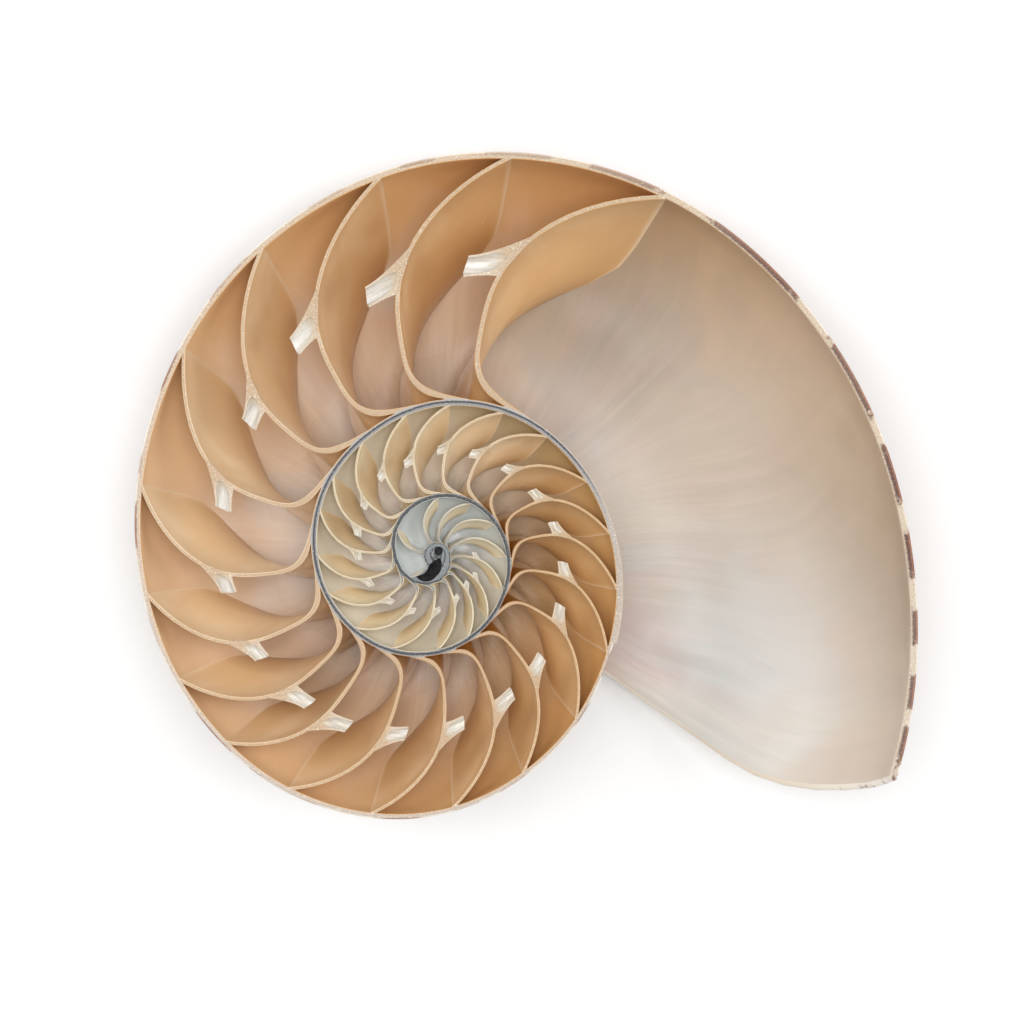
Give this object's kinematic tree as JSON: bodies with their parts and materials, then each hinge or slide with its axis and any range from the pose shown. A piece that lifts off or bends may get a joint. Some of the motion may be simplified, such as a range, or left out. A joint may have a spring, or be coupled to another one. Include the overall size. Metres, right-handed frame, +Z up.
{
  "type": "nautilus shell half",
  "caption": "Half of a chambered nautilus shell, sawn along its spiral to show septa and pearly chambers, lying on its flank.",
  "frame": {"origin": "middle of the bounding box's footprint, on the surface that the flank rests on", "axes": "+Z up, the saw cut facing up and leaning 9 degrees; +X towards the outer wall of the living chamber"},
  "size_m": [0.1496, 0.127, 0.0476],
  "materials": {
    "nacre": "satin pearly nacre, peach to silver grey"
  },
  "bodies": {
    "root": {"shell_half": "nacre"}
  },
  "joints": []
}
